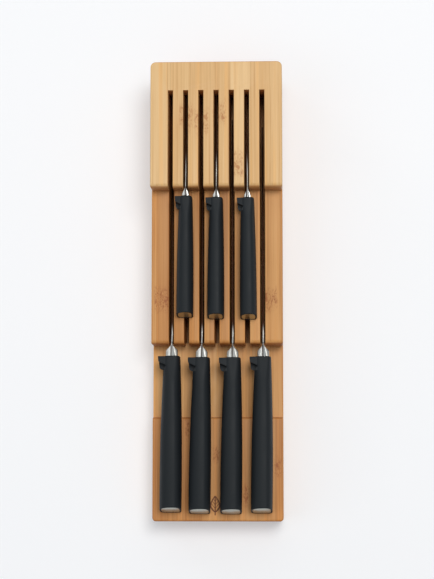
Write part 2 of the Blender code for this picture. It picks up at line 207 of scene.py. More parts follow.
# name, place, what it points at, width and length, power in watts, colour
LIGHTS = (
    ("key", (0.36, 0.4, 2.1), (0.0, -0.06, 0.0), (0.8, 0.9), 27.0, (1.0, 0.985, 0.96)),
    ("back", (0.1, 1.9, 1.7), (0.0, 0.0, 0.05), (2.8, 1.0), 4.5, (1.0, 1.0, 1.0)),
    ("left_fill", (-1.3, -0.3, 1.6), (0.0, -0.05, 0.0), (1.0, 1.6), 4.5, (0.9, 0.96, 1.0)),
    ("left_back", (-1.54, 1.36, 0.8), (0.0, 0.0, 0.05), (0.7, 0.7), 3.0, (1.0, 1.0, 1.0)),
)
SKY_COLOUR = (0.88, 0.94, 1.0, 1.0)
SKY_STRENGTH = 0.34
FLOOR_GLOW = (0.97, 0.98, 1.0, 1.0)  # the floor glows faintly, as a light table does
FLOOR_GLOW_STRENGTH = 0.31
FLOOR_DROP = 0.0002  # below the feet
FLOOR_HALF = 3000.0  # half the floor's side, in millimetres

CAMERA_PLACE = Vector((0.0601, -0.1455, 1.5))
CAMERA_TARGET = Vector((-0.00014, 0.002045, 0.05))
SENSOR_WIDTH = 36.0  # in millimetres, as is the lens
LENS = 104.283


# ---------------------------------------------------------------- mesh helpers


def slot_x(number):
    return (number - (SLOT_COUNT + 1) / 2) * SLOT_PITCH


def quarter_turn(steps, first=0):
    """Angles from 0 to a quarter turn, in equal steps."""
    return [math.pi / 2 * i / steps for i in range(first, steps + 1)]


def circle(centre, radius, count):
    turns = [TAU * i / count for i in range(count)]
    return [(centre[0] + radius * math.cos(a), centre[1] + radius * math.sin(a)) for a in turns]


def rectangle(left, right, y_low, y_high, z):
    return [(left, y_low, z), (right, y_low, z), (right, y_high, z), (left, y_high, z)]


def add_loft(bm, rings):
    """Skins rings of points in order and closes both ends."""
    loops = [[bm.verts.new(point) for point in ring] for ring in rings]
    count = len(loops[0])
    for near, far in zip(loops, loops[1:]):
        for i in range(count):
            j = (i + 1) % count
            bm.faces.new((near[i], near[j], far[j], far[i]))
    bm.faces.new(loops[0])
    bm.faces.new(reversed(loops[-1]))


def make_object(name, bm, material=None, sharp=SHARP_ANGLE):
    """An object in metres from millimetre geometry; a tool has no material and is removed later."""
    bmesh.ops.recalc_face_normals(bm, faces=bm.faces)
    bmesh.ops.scale(bm, vec=(MM, MM, MM), verts=bm.verts)
    mesh = bpy.data.meshes.new(name)
    bm.to_mesh(mesh)
    bm.free()
    obj = bpy.data.objects.new(name, mesh)
    bpy.context.scene.collection.objects.link(obj)
    if material:
        mesh.materials.append(material)
        mesh.shade_smooth()
        mesh.set_sharp_from_angle(angle=math.radians(sharp))
    return obj


def combine(target, tools):
    """Applies exact Booleans with (tool, operation) pairs, and removes the tools."""
    for tool, operation in tools:
        modifier = target.modifiers.new(tool.name, "BOOLEAN")
        modifier.object = tool
        modifier.operation = operation
        modifier.solver = "EXACT"
    graph = bpy.context.evaluated_depsgraph_get()
    result = bpy.data.meshes.new_from_object(target.evaluated_get(graph))
    old = target.data
    target.modifiers.clear()
    target.data = result
    result.name = target.name
    bpy.data.meshes.remove(old)
    for tool, _ in tools:
        bpy.data.meshes.remove(tool.data)
    result.shade_smooth()
    result.set_sharp_from_angle(angle=math.radians(SHARP_ANGLE))


def lay(obj, knife):
    """Moves a knife's piece a little back and turns it about the middle of its blade, as the knife lies."""
    middle = Vector((slot_x(knife.slot) * MM, (knife.size["heel_y"] + knife.length / 2) * MM, 0.0))
    moved = middle + Vector((0.0, knife.back * MM, 0.0))
    turned = Matrix.Rotation(math.radians(knife.turn), 4, "Z")
    obj.data.transform(Matrix.Translation(moved) @ turned @ Matrix.Translation(-middle))


def settle(obj, body, node):
    """Puts a finished piece on its body in place of its CAD node."""
    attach(obj, body)
    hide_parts(node)


# ---------------------------------------------------------------- material helpers


class Graph:
    """A material's node tree, with short calls for the nodes used here."""

    def __init__(self, name, roughness, metallic=0.0):
        self.material = bpy.data.materials.new(name)
        self.material.use_nodes = True
        self.tree = self.material.node_tree
        self.shader = self.tree.nodes["Principled BSDF"]
        self.shader.inputs["Roughness"].default_value = roughness
        self.shader.inputs["Metallic"].default_value = metallic

    def set(self, socket, value):
        if isinstance(value, bpy.types.NodeSocket):
            self.tree.links.new(value, socket)
        else:
            socket.default_value = value

    def node(self, kind, inputs=(), **settings):
        made = self.tree.nodes.new(kind)
        for key, value in settings.items():
            setattr(made, key, value)
        for key, value in dict(inputs).items():
            self.set(made.inputs[key], value)
        return made

    def place_and_normal(self):
        outputs = self.node("ShaderNodeTexCoord").outputs
        return outputs["Object"], outputs["Normal"]

    def parts(self, vector):
        """A vector's X, Y and Z."""
        return self.node("ShaderNodeSeparateXYZ", {"Vector": vector}).outputs[:]

    def math(self, operation, *values):
        made = self.node("ShaderNodeMath", operation=operation)
        for socket, value in zip(made.inputs, values):
            self.set(socket, value)
        return made.outputs[0]

    def vector_math(self, operation, a, b):
        made = self.node("ShaderNodeVectorMath", operation=operation)
        self.set(made.inputs[0], a)
        self.set(made.inputs[1], b)
        return made.outputs[0]

    def noise(self, vector, scale, detail=3.0, roughness=0.55, distortion=0.0):
        """Noise with scale given along X, Y and Z, per metre."""
        made = self.node("ShaderNodeTexNoise", {"Scale": 1.0, "Detail": detail, "Roughness": roughness})
        self.set(made.inputs["Vector"], self.vector_math("MULTIPLY", vector, scale))
        self.set(made.inputs["Distortion"], distortion)
        return made.outputs["Fac"]

    def random(self, x, y, z):
        """A random value and a random colour for each whole x, y and z."""
        vector = self.node("ShaderNodeCombineXYZ", {"X": x, "Y": y, "Z": z}).outputs[0]
        made = self.node("ShaderNodeTexWhiteNoise", {"Vector": vector}, noise_dimensions="3D")
        return made.outputs["Value"], made.outputs["Color"]

    def remap(self, kind, value, low, high, to_low, to_high):
        ends = {"From Min": low, "From Max": high, "To Min": to_low, "To Max": to_high}
        made = self.node("ShaderNodeMapRange", {"Value": value, **ends}, interpolation_type=kind)
        return made.outputs["Result"]

    def rise(self, value, low, high):
        """Smooth step of value from low to high."""
        return self.remap("SMOOTHSTEP", value, low, high, 0.0, 1.0)

    def spread(self, value, low, high, to_low=0.0, to_high=1.0):
        """Straight remap of value, held inside its new range."""
        return self.remap("LINEAR", value, low, high, to_low, to_high)

    def mix(self, share, a, b):
        made = self.node("ShaderNodeMix", data_type="RGBA")
        self.set(made.inputs[0], share)
        self.set(made.inputs[6], a)
        self.set(made.inputs[7], b)
        return made.outputs[2]

    def bump(self, height, strength, distance):
        made = self.node("ShaderNodeBump", {"Height": height, "Strength": strength, "Distance": distance})
        self.out("Normal", made.outputs[0])

    def out(self, name, value):
        self.set(self.shader.inputs[name], value)


def rgb(red, green, blue):
    """Linear colour from display values 0 to 255."""
    shares = [v / 255 for v in (red, green, blue)]
    return (*[((v + 0.055) / 1.055) ** 2.4 if v > 0.04 else v / 12.92 for v in shares], 1.0)


def tinted(colour, red, green, blue):
    """A colour with its parts scaled, none above full."""
    return (*[min(part * share, 1.0) for part, share in zip(colour, (red, green, blue))], 1.0)


# ---------------------------------------------------------------- bamboo


# Noise scales across, along and up a board, per metre: the fibres run along Y
BROAD = (190.0, 3.0, 190.0)
GOLDEN = (260.0, 4.0, 260.0)
FIBRE = (620.0, 7.0, 620.0)
HAIR = (2300.0, 26.0, 2300.0)
CLOUD = (24.0, 8.0, 24.0)
COARSE_SPECKS = (420.0, 210.0, 420.0)
FINE_SPECKS = (1300.0, 520.0, 1300.0)
KNOT_WAVE = (130.0, 50.0, 130.0)
END_CELLS = (1050.0, 0.0, 1250.0)
STRIP_SHIFT = (3.0, 3.0, 0.0)  # how far apart neighbouring strips' fibres are taken from, in metres

# A knot, in millimetres
KNOT_ENDS = (13.5, 3.0)  # distances along the strip where its patch ends and where it is full
KNOT_LINE = (1.6, 0.4)  # and its thin line
KNOT_SIDE = 3.0  # softness of its sides
KNOT_SWAY = 22.0  # how far it wavers along the strip

# The leaf, in millimetres; the first value of each pair is bare, and the second is fully burnt
LEAF_OUTLINE = (0.7, 0.45)
LEAF_RIB = (0.6, 0.4)
LEAF_LEAN = 0.8  # below 1 the leaf is widest nearer to its foot
VEIN_COUNT = 4.5
VEIN_SLANT = 0.42  # veins passed per millimetre away from the rib
LEAF_COLOUR = (92, 38, 14)


def leaf_mark(g, x, y, middle, foot, length, half_width):
    """How much of a burnt leaf drawing covers the point: outline, midrib and slanting veins, 0 or 1."""
    off = g.math("ABSOLUTE", g.math("SUBTRACT", x, middle * MM))
    share = g.math("DIVIDE", g.math("SUBTRACT", y, foot * MM), length * MM)
    inside = g.math("MULTIPLY", g.rise(share, -0.01, 0.01), g.rise(share, 1.01, 0.99))
    curve = g.math("SINE", g.math("MULTIPLY", g.math("POWER", share, LEAF_LEAN), math.pi))
    reach = g.math("MULTIPLY", curve, half_width * MM)
    from_edge = g.math("ABSOLUTE", g.math("SUBTRACT", off, reach))
    outline = g.rise(from_edge, LEAF_OUTLINE[0] * MM, LEAF_OUTLINE[1] * MM)
    slant = g.math("MULTIPLY", off, VEIN_SLANT / MM)
    veins = g.math("PINGPONG", g.math("SUBTRACT", g.math("MULTIPLY", share, VEIN_COUNT), slant), 0.5)
    veins = g.math("MULTIPLY", g.rise(veins, 0.14, 0.08), g.math("LESS_THAN", off, reach))
    rib = g.rise(off, LEAF_RIB[0] * MM, LEAF_RIB[1] * MM)
    stem = g.math("MULTIPLY", g.rise(share, -0.2, -0.18), g.math("LESS_THAN", share, 0.05))
    drawn = g.math("MULTIPLY", inside, g.math("MAXIMUM", outline, g.math("MAXIMUM", veins, rib)))
    return g.math("MAXIMUM", drawn, g.math("MULTIPLY", stem, rib))


def add_knots(g, colour, knots, place, shifted, light, brown):
    """Darkens the cane's knots, speckled patches with a thin line across; gives the colour and the dents."""
    x, y, _ = g.parts(place)
    coarse = g.noise(shifted, COARSE_SPECKS, 2.0, 0.5, 0.6)
    fine = g.noise(shifted, FINE_SPECKS, 2.0, 0.6, 0.3)
    speckle = g.math("MAXIMUM", g.rise(coarse, 0.53, 0.62), g.rise(fine, 0.56, 0.66))
    fleck = g.rise(fine, 0.46, 0.36)
    wander = g.math("SUBTRACT", g.noise(place, KNOT_WAVE, 2.0), 0.5)
    dent = 0.0
    for knot_x, knot_y, width in knots:
        off = g.math("ABSOLUTE", g.math("SUBTRACT", x, knot_x * MM))
        inside = g.rise(off, width / 2 * MM, (width / 2 - KNOT_SIDE) * MM)
        along = g.math("MULTIPLY_ADD", wander, KNOT_SWAY * MM, g.math("SUBTRACT", y, knot_y * MM))
        far = g.math("ABSOLUTE", along)
        near = g.math("MULTIPLY", inside, g.rise(far, KNOT_ENDS[0] * MM, KNOT_ENDS[1] * MM))
        spots = g.math("MULTIPLY", near, speckle)
        line = g.math("MULTIPLY", inside, g.rise(far, KNOT_LINE[0] * MM, KNOT_LINE[1] * MM))
        colour = g.mix(g.math("MULTIPLY", near, 0.16), colour, brown)
        colour = g.mix(g.math("MULTIPLY", g.math("MULTIPLY", near, fleck), 0.3), colour, light)
        colour = g.mix(g.math("MULTIPLY", spots, 0.68), colour, brown)
        colour = g.mix(g.math("MULTIPLY", line, 0.2), colour, brown)
        dent = g.math("MULTIPLY_ADD", spots, 0.4, dent)
    return colour, dent


def add_end_grain_and_nose_shade(g, colour, normal, shifted, brown):
    """Darker wood with the fibres' ends as dots, where a board faces forwards or back; part of this darkening
    is painted shade, meant for the steps' rounded fronts.
    """
    end = g.rise(g.math("ABSOLUTE", g.parts(normal)[1]), 0.5, 0.88)
    stretched = g.vector_math("MULTIPLY", shifted, END_CELLS)
    cells = g.node("ShaderNodeTexVoronoi", {"Vector": stretched, "Scale": 1.0})
    dots = g.rise(cells.outputs["Distance"], 0.34, 0.16)
    # the 0.7 share of brown goes past the end grain's own darkness, as painted shade on the rounded fronts
    grain = g.mix(g.math("MULTIPLY", dots, 0.55), g.mix(0.7, colour, brown), brown)
    return g.mix(end, colour, grain)


def bamboo(name, light, dark, strip, start, seed, knots, leaf=None):
    """Flat-pressed bamboo: strips along Y, long fibres, knots where given, layers on the sides.

    strip and start are the strips' width and first edge; knots are (x, y, width) in millimetres, and
    leaf is the mark's middle, foot, length and half-width.
    """
    g = Graph(name, 0.5)
    place, normal = g.place_and_normal()
    x, y, z = g.parts(place)
    across = g.math("DIVIDE", g.math("SUBTRACT", x, start * MM), strip * MM)
    lift = g.math("DIVIDE", z, LAYER * MM)
    tone, tones = g.random(g.math("FLOOR", across), g.math("FLOOR", lift), seed)
    shifted = g.vector_math("ADD", place, g.vector_math("MULTIPLY", tones, STRIP_SHIFT))

    broad = g.noise(shifted, BROAD, 3.0, 0.5)
    golden = g.noise(shifted, GOLDEN, 2.0, 0.5)
    fibre = g.noise(shifted, FIBRE, 4.0, 0.62)
    hair = g.noise(shifted, HAIR, 2.0, 0.5)
    cloud = g.noise(shifted, CLOUD, 2.0, 0.5)

    share = g.math("MULTIPLY_ADD", tone, 0.62, g.math("MULTIPLY", broad, 0.85))
    share = g.math("MULTIPLY_ADD", fibre, 0.75, share)
    share = g.spread(g.math("MULTIPLY_ADD", cloud, 0.4, share), 0.82, 1.82)
    colour = g.mix(share, light, dark)
    warm = g.math("MULTIPLY", g.rise(golden, 0.5, 0.68), 0.55)
    colour = g.mix(warm, colour, tinted(light, 1.0, 0.82, 0.58))
    streak = g.math("MULTIPLY", g.rise(fibre, 0.55, 0.72), 0.34)
    colour = g.mix(streak, colour, tinted(dark, 0.74, 0.58, 0.44))
    pale = g.math("MULTIPLY", g.rise(hair, 0.54, 0.78), 0.3)
    colour = g.mix(pale, colour, tinted(light, 1.2, 1.2, 1.2))

    seam_x = g.rise(g.math("PINGPONG", across, 0.5), 0.012, 0.003)
    seam_z = g.rise(g.math("PINGPONG", lift, 0.5), 0.04, 0.015)
    seam = g.math("MAXIMUM", seam_x, seam_z)
    colour = g.mix(g.math("MULTIPLY", seam, 0.35), colour, tinted(dark, 0.45, 0.45, 0.45))

    brown = tinted(dark, 0.66, 0.4, 0.24)
    colour, dent = add_knots(g, colour, knots, place, shifted, light, brown)
    colour = add_end_grain_and_nose_shade(g, colour, normal, shifted, brown)
    if leaf:
        mark = leaf_mark(g, x, y, *leaf)
        colour = g.mix(g.math("MULTIPLY", mark, 0.9), colour, rgb(*LEAF_COLOUR))
        dent = g.math("MULTIPLY_ADD", mark, 1.2, dent)
    g.out("Base Color", colour)

    relief = g.math("MULTIPLY_ADD", fibre, 0.55, g.math("MULTIPLY", hair, 0.35))
    relief = g.math("SUBTRACT", g.math("SUBTRACT", relief, dent), g.math("MULTIPLY", seam, 0.5))
    g.bump(relief, 0.35, 0.00012)
    g.out("Roughness", g.spread(g.math("ADD", fibre, cloud), 0.7, 1.3, 0.42, 0.56))
    g.out("Specular IOR Level", 0.3)
    return g.material


# ---------------------------------------------------------------- other materials


def soft_touch(name):
    """Matt black moulded grip, faintly smudged and dusty."""
    g = Graph(name, 0.5)
    place, _ = g.place_and_normal()
    fine = g.noise(place, (5200.0, 5200.0, 5200.0), 2.0, 0.6)
    smudge = g.noise(place, (90.0, 34.0, 90.0), 3.0, 0.55, 0.3)
    dust = g.rise(g.noise(place, (1500.0, 1500.0, 1500.0), 1.0), 0.70, 0.78)
    colour = g.mix(smudge, rgb(26, 30, 33), rgb(32, 36, 39))
    g.out("Base Color", g.mix(g.math("MULTIPLY", dust, 0.12), colour, rgb(80, 82, 82)))
    g.out("Roughness", g.spread(smudge, 0.3, 0.7, 0.5, 0.64))
    g.out("Specular IOR Level", 0.2)
    g.bump(fine, 0.25, 0.00005)
    return g.material


BOLSTER_HIGHLIGHT_FADE = (0.5, -1.5)  # where the painted light on the bolster starts and is full (a brighter colour, a painted highlight), past the start of the painted shade on the spine
RIDGE_REFLECTION = (0.85, 0.5)  # distances from a slot's middle where the dark painted reflection along the ridge ends and is full
SHOULDER_SHADE = (2.5, 3.3)  # and where the grey painted shade on the shoulders starts and is full


def paint_blade_light_and_shade(g, place, normal, scratch, colour, roughness, start, full):
    """Painted shade on the spine's top, a painted highlight brightening the bolster, a dark painted
    reflection along its ridge and grey painted shade on its shoulders.
    """
    x, y, _ = g.parts(place)
    up = g.rise(g.parts(normal)[2], 0.3, 0.7)
    bolster = g.rise(y, (start + BOLSTER_HIGHLIGHT_FADE[0]) * MM, (start + BOLSTER_HIGHLIGHT_FADE[1]) * MM)
    # painted highlight: the bolster's steel is made brighter than the blade's, standing in for the light it
    # catches
    colour = g.mix(bolster, colour, rgb(236, 236, 230))
    roughness = g.math("MULTIPLY_ADD", bolster, 0.1, roughness)
    # painted reflection: a dark line down the middle of the bolster's ridge, placed by distance from the
    # slot's middle
    off = g.math("PINGPONG", g.math("DIVIDE", x, SLOT_PITCH * MM), 0.5)
    ridge = g.math("MULTIPLY", bolster, g.rise(off, RIDGE_REFLECTION[0] / SLOT_PITCH, RIDGE_REFLECTION[1] / SLOT_PITCH))
    # painted shade: the shoulders either side of the ridge are made greyer
    shoulder = g.math("MULTIPLY", bolster, g.rise(off, SHOULDER_SHADE[0] / SLOT_PITCH, SHOULDER_SHADE[1] / SLOT_PITCH))
    colour = g.mix(g.math("MULTIPLY", shoulder, 0.6), colour, rgb(150, 146, 138))
    # painted shade: the spine's upward faces are darkened along the blade from the heel, as the slot shades
    # them
    spine = g.math("MULTIPLY", up, g.rise(y, start * MM, full * MM))
    painted_dark = g.math("MAXIMUM", g.math("MULTIPLY", ridge, 0.85), spine)
    # dark brown for both the painted shade on the spine and the painted reflection on the ridge
    colour = g.mix(painted_dark, colour, g.mix(scratch, rgb(58, 36, 24), rgb(40, 24, 16)))
    return colour, g.math("MULTIPLY_ADD", spine, 0.25, roughness)


def ground_steel(name, lines, base, rough, spine_shade_span=None):
    """Steel with fine grinding lines; lines are the noise scales along X, Y and Z, per metre.

    The last argument gives the Y where the painted shade on a blade's spine starts and where it is full; the
    bolster's painted highlight, ridge reflection and shoulder shade are placed from it too.
    """
    g = Graph(name, 0.25, 1.0)
    place, normal = g.place_and_normal()
    scratch = g.noise(place, lines, 3.0, 0.6)
    cloud = g.noise(place, (60.0, 60.0, 60.0), 2.0, 0.5)
    colour = g.mix(g.spread(scratch, 0.3, 0.7), base, tinted(base, 0.82, 0.82, 0.82))
    both = g.math("MULTIPLY_ADD", cloud, 0.35, g.math("MULTIPLY", scratch, 0.65))
    roughness = g.spread(both, 0.35, 0.65, rough - 0.07, rough + 0.09)
    # blades only: painted shade on the spine and painted light on the bolster
    if spine_shade_span:
        colour, roughness = paint_blade_light_and_shade(g, place, normal, scratch, colour, roughness, *spine_shade_span)
    g.out("Base Color", colour)
    g.out("Roughness", roughness)
    g.bump(scratch, 0.18, 0.00003)
    return g.material


def silicone(name):
    """Slightly cloudy pale pads."""
    g = Graph(name, 0.6)
    place, _ = g.place_and_normal()
    cloud = g.noise(place, (300.0, 300.0, 300.0), 3.0, 0.6)
    g.out("Base Color", g.mix(cloud, rgb(196, 198, 196), rgb(216, 217, 214)))
    g.out("Roughness", g.spread(cloud, 0.3, 0.7, 0.5, 0.7))
    g.bump(cloud, 0.2, 0.00008)
    return g.material


# Where the cane's knots lie on the steps: (x, y, width)
TOP_KNOTS = ((-26.0, 150.0, 14.0), (-12.5, 145.0, 15.0), (3.0, 151.0, 14.0), (18.0, 107.0, 14.0))
MIDDLE_KNOTS = ((-48.0, -6.0, 15.0), (45.0, -7.0, 17.0), (30.0, 26.0, 9.0))
FRONT_KNOTS = ((-26.5, -117.0, 7.0), (-1.0, -139.0, 9.0), (24.5, -176.0, 8.0), (52.0, -150.0, 9.0))
LEAF = (-2.3, -190.5, 14.0, 3.9)  # middle, foot, length and half-width

# board: light and dark colour, strip width, first strip's edge, seed, knots, and the mark if it has one
WOODS = {
    "top": (rgb(229, 192, 139), rgb(202, 153, 94), 17.3, -57.0, 3.0, TOP_KNOTS),
    "middle": (rgb(217, 161, 98), rgb(175, 111, 52), 15.4, -52.6, 11.0, MIDDLE_KNOTS),
    "front": (rgb(220, 162, 100), rgb(184, 118, 60), 16.0, -46.0, 23.0, FRONT_KNOTS, LEAF),
    "core": (rgb(238, 184, 119), rgb(206, 141, 78), 15.6, -48.0, 31.0, ()),
    "base": (rgb(214, 168, 116), rgb(180, 126, 74), 16.8, -52.0, 47.0, ()),
}
BLADE_LINES = (900.0, 5200.0, 45.0)
CAP_LINES = (90.0, 2600.0, 2600.0)
SLUG_LINES = (200.0, 3000.0, 200.0)
BLADE_COLOUR = rgb(206, 207, 204)
BLADE_ROUGHNESS = 0.24


def make_materials():
    looks = {board: bamboo(f"bamboo_{board}", *wood) for board, wood in WOODS.items()}
    looks["soft"] = soft_touch("soft_touch_black")
    # each pair is where the painted shade on that blade's spine starts and is full
    for blade, spine_shade_span in (("large_blade", (-46.0, -26.0)), ("small_blade", (90.0, 122.0))):
        looks[blade] = ground_steel(f"{blade}_steel", BLADE_LINES, BLADE_COLOUR, BLADE_ROUGHNESS, spine_shade_span)
    looks["cap"] = ground_steel("cap_steel", CAP_LINES, rgb(166, 171, 163), 0.3)
    looks["slug"] = ground_steel("slug_steel", SLUG_LINES, rgb(150, 151, 153), 0.42)
    looks["silicone"] = silicone("silicone_pad")
    return looks


# ---------------------------------------------------------------- boards


def board_ring(y_low, y_high, corner, insets, heights):
    """A rounded rectangle; insets and heights are (front, side, back) and blend round each corner."""
    front, side, back = insets
    x = HALF_WIDTH - side
    low, high = y_low + front, y_high - back
    points = []
    for sign_x, sign_y, start in ((1, -1, -90), (1, 1, 0), (-1, 1, 90), (-1, -1, 180)):
        end = 0 if sign_y < 0 else 2
        radius = max(corner[end // 2] - min(side, insets[end]), SMALLEST_CORNER)
        centre_x = sign_x * (x - radius)
        centre_y = low + radius if sign_y < 0 else high - radius
        for i in range(CURVE_STEPS + 1):
            turn = math.radians(start + 90 * i / CURVE_STEPS)
            z = heights[1] + abs(math.sin(turn)) * (heights[end] - heights[1])
            points.append((centre_x + radius * math.cos(turn), centre_y + radius * math.sin(turn), z))
    return points


def board_mesh(node, corner, top_radii):
    """A board as long and thick as its CAD node, its top edges rounded by (front, side, back) radii."""
    low, high = [[value / MM for value in corner_point] for corner_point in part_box(node)]
    part = 0.3 * BOTTOM_RADIUS
    rings = []
    for inset, up in ((BOTTOM_RADIUS, 0.0), (part, part), (0.0, BOTTOM_RADIUS)):
        rings.append(board_ring(low[1], high[1], corner, (inset,) * 3, (low[2] + up,) * 3))
    for turn in quarter_turn(CURVE_STEPS):
        insets = [radius * (1 - math.cos(turn)) for radius in top_radii]
        heights = [high[2] - radius * (1 - math.sin(turn)) for radius in top_radii]
        rings.append(board_ring(low[1], high[1], corner, insets, heights))
    bm = bmesh.new()
    add_loft(bm, rings)
    return bm, high[2]


def slot_tool(y_low, y_high, z_top):
    """One cutter for all of a board's slots, flaring at the mouth so that the edges are eased."""
    flare = [(-CUTTER_PAST, 0.0), (z_top - SLOT_MOUTH, 0.0)]
    for turn in quarter_turn(4, 1):
        flare.append((z_top - SLOT_MOUTH * (1 - math.sin(turn)), SLOT_MOUTH * (1 - math.cos(turn))))
    flare.append((z_top + CUTTER_PAST / 2, SLOT_MOUTH))
    bm = bmesh.new()
    for number in range(1, SLOT_COUNT + 1):
        x = slot_x(number)
        rings = []
        for z, out in flare:
            half = SLOT_WIDTH / 2 + out
            rings.append(rectangle(x - half, x + half, y_low, y_high + out, z))
        add_loft(bm, rings)
    return make_object("slot_tool", bm)


def make_board(node, material, corner, top_radii, slot_ends=None):
    bm, z_top = board_mesh(node, corner, top_radii)
    board = make_object(f"{node}_wood", bm, material)
    if slot_ends:
        combine(board, [(slot_tool(*slot_ends, z_top), "DIFFERENCE")])
    settle(board, "block", node)


def make_block(looks):
    plain = (FRONT_CORNER, BACK_CORNER)
    step = (STEP_CORNER, BACK_CORNER)
    nosed = (NOSE_RADIUS, EASED_RADIUS, EASED_RADIUS)
    make_board("base_board", looks["base"], plain, (0.4, 0.4, 0.4))
    make_board("core_board", looks["core"], plain, (0.4, 0.6, 0.4), (CORE_SLOT_FRONT_Y, SLOT_END_DEEP_Y))
    make_board("front_rest_board", looks["front"], (FRONT_CORNER, REST_BACK_CORNER), REST_EDGES)
    for name, slot_end in (("middle", SLOT_END_DEEP_Y), ("top", SLOT_END_TOP_Y)):
        node = f"{name}_board"
        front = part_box(node)[0][1] / MM
        make_board(node, looks[name], step, nosed, (front - CUTTER_PAST, slot_end))


def make_feet(look):
    """Low pads with rounded rims and a shallow hollow in the sole."""
    for end in ("front", "back"):
        for side in ("left", "right"):
            node = f"foot_{end}_{side}"
            low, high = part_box(node)
            centre = [(a + b) / 2 / MM for a, b in zip(low, high)]
            rings = []
            for radius, z in FOOT_PROFILE:
                rings.append([(x, y, z) for x, y in circle(centre, radius, FOOT_POINTS)])
            bm = bmesh.new()
            add_loft(bm, rings)
            settle(make_object(f"{node}_pad", bm, look), "block", node)


# ---------------------------------------------------------------- handles


def handle_extents(size, s):
    """Left and right half-widths and low and high z of a handle, at share s of its length."""
    start, flare = size["left"]
    left = start + flare * (1 - (1 - s) ** 1.8)
    base, slope, bulge = size["right"]
    right = base + slope * s + bulge * math.sin(math.pi * s)
    arch = ARCH * size["height"]
    waist = math.sin(math.pi * min(max((s - WAIST_START) / WAIST_LENGTH, 0.0), 1.0)) ** 2
    low = size["rest_z"] + arch * waist
    high = size["rest_z"] + size["height"] - arch * (1 - math.sin(math.pi * (0.15 + 0.7 * s)))
    return left, right, low, high


def handle_y(size, s, z, back=0.0):
    """Y of share s of the length at height z: the front is upright and the butt slants."""
    butt = size["front_y"] - size["top_length"]
    butt -= size["slant"] * (size["rest_z"] + size["height"] - z)
    return size["front_y"] + s * (butt - size["front_y"]) + back


def handle_ring(size, x, s, inset, back=0.0):
    """A cross-section, drawn in by inset and moved back towards the blade."""
    left, right, low, high = handle_extents(size, s)
    middle = (low + high) / 2
    half = (high - low) / 2 - inset
    squareness = math.exp(-((s / FRONT_BLEND) ** 2))
    ring = []
    for i in range(HANDLE_POINTS):
        turn = TAU * (i + 0.5) / HANDLE_POINTS
        round_power = CROWN_POWER if math.sin(turn) > 0 else BELLY_POWER
        power = 2 / (round_power + (FRONT_POWER - round_power) * squareness)
        across = math.copysign(abs(math.cos(turn)) ** power, math.cos(turn))
        up = math.copysign(abs(math.sin(turn)) ** power, math.sin(turn))
        reach = (right if across > 0 else left) - inset
        z = middle + up * half
        ring.append((x + across * reach, handle_y(size, s, z, back), z))
    return ring


def handle_stations(size):
    """(share of length, inset) pairs with a small radius at each end."""
    front = []
    for turn in quarter_turn(5):
        inset = END_RADIUS * (1 - math.sin(turn))
        front.append((END_RADIUS * (1 - math.cos(turn)) / size["top_length"], inset))
    middle = [(0.01 + 0.98 * i / HANDLE_STEPS, 0.0) for i in range(HANDLE_STEPS + 1)]
    back = [(1 - s * BUTT_RADIUS, inset * BUTT_RADIUS) for s, inset in reversed(front)]
    return front + middle + back


def outline_prism(outline, z_low, z_high, radius):
    """A prism from a plan outline, all its edges rounded."""
    bm = bmesh.new()
    add_loft(bm, [[(x, y, z) for x, y in outline] for z in (z_low, z_high)])
    bmesh.ops.recalc_face_normals(bm, faces=bm.faces)
    if radius:
        bmesh.ops.bevel(bm, geom=bm.edges[:], offset=radius, segments=4, profile=0.5, affect="EDGES")
    return bm


def tool_rest_outline(size, x):
    """The side tab in plan: square in front, its outer edge leaning in, rounded behind."""
    reach, length = size["tab"]
    front = size["front_y"]
    return [
        (x - 3.0, front - 0.2),
        (x - reach + 0.2, front - 0.2),
        (x - reach, front - 0.9),
        (x - reach + 0.8, front - 0.84 * length),
        (x - reach + 1.3, front - 0.94 * length),
        (x - reach + 2.4, front - 0.99 * length),
        (x - reach + 4.2, front - 1.04 * length),
        (x - 3.0, front - 1.12 * length),
    ]


def scoop_outline(size, x):
    """What is cut from the tab's top behind its front plate, on a slanting line."""
    reach, length = size["tab"]
    front = size["front_y"]
    return [
        (x - reach - 2.5, front - 0.3 * length),
        (x - 0.4 * reach, front - 0.68 * length),
        (x - 0.56 * reach, front - 0.95 * length),
        (x - 0.62 * reach, front - 1.5 * length),
        (x - reach - 2.5, front - 1.5 * length),
    ]


def tang_tool(size, x):
    """The pocket that the tang lies in."""
    length, height, thick = size["tang"]
    middle = size["rest_z"] + TANG_MIDDLE * size["height"]
    half_x = thick / 2 + TANG_CLEARANCE
    half_z = height / 2 + TANG_CLEARANCE
    y_low, y_high = size["front_y"] - length - TANG_CLEARANCE, size["front_y"] + TANG_PAST
    heights = (middle - half_z, middle + half_z)
    bm = bmesh.new()
    add_loft(bm, [rectangle(x - half_x, x + half_x, y_low, y_high, z) for z in heights])
    return bm


def recess_tool(size, x):
    """The shallow recess for the steel plate in the butt."""
    bm = bmesh.new()
    add_loft(bm, [handle_ring(size, x, 1.0, CAP_INSET, back) for back in (-RECESS_PAST, CAP_DEPTH)])
    return bm


def bore_tool(size, x):
    """The round bore that holds the balance weight."""
    left, right, low, high = handle_extents(size, 1.0)
    centre = (x + (right - left) / 2, (low + high) / 2)
    butt = handle_y(size, 1.0, high, CAP_DEPTH)
    radius, length = size["slug"][0] + GAP, size["slug"][1] + GAP
    rings = []
    for y in (butt - BORE_PAST, butt + length):
        rings.append([(px, y, pz) for px, pz in circle(centre, radius, BORE_POINTS)])
    bm = bmesh.new()
    add_loft(bm, rings)
    return bm


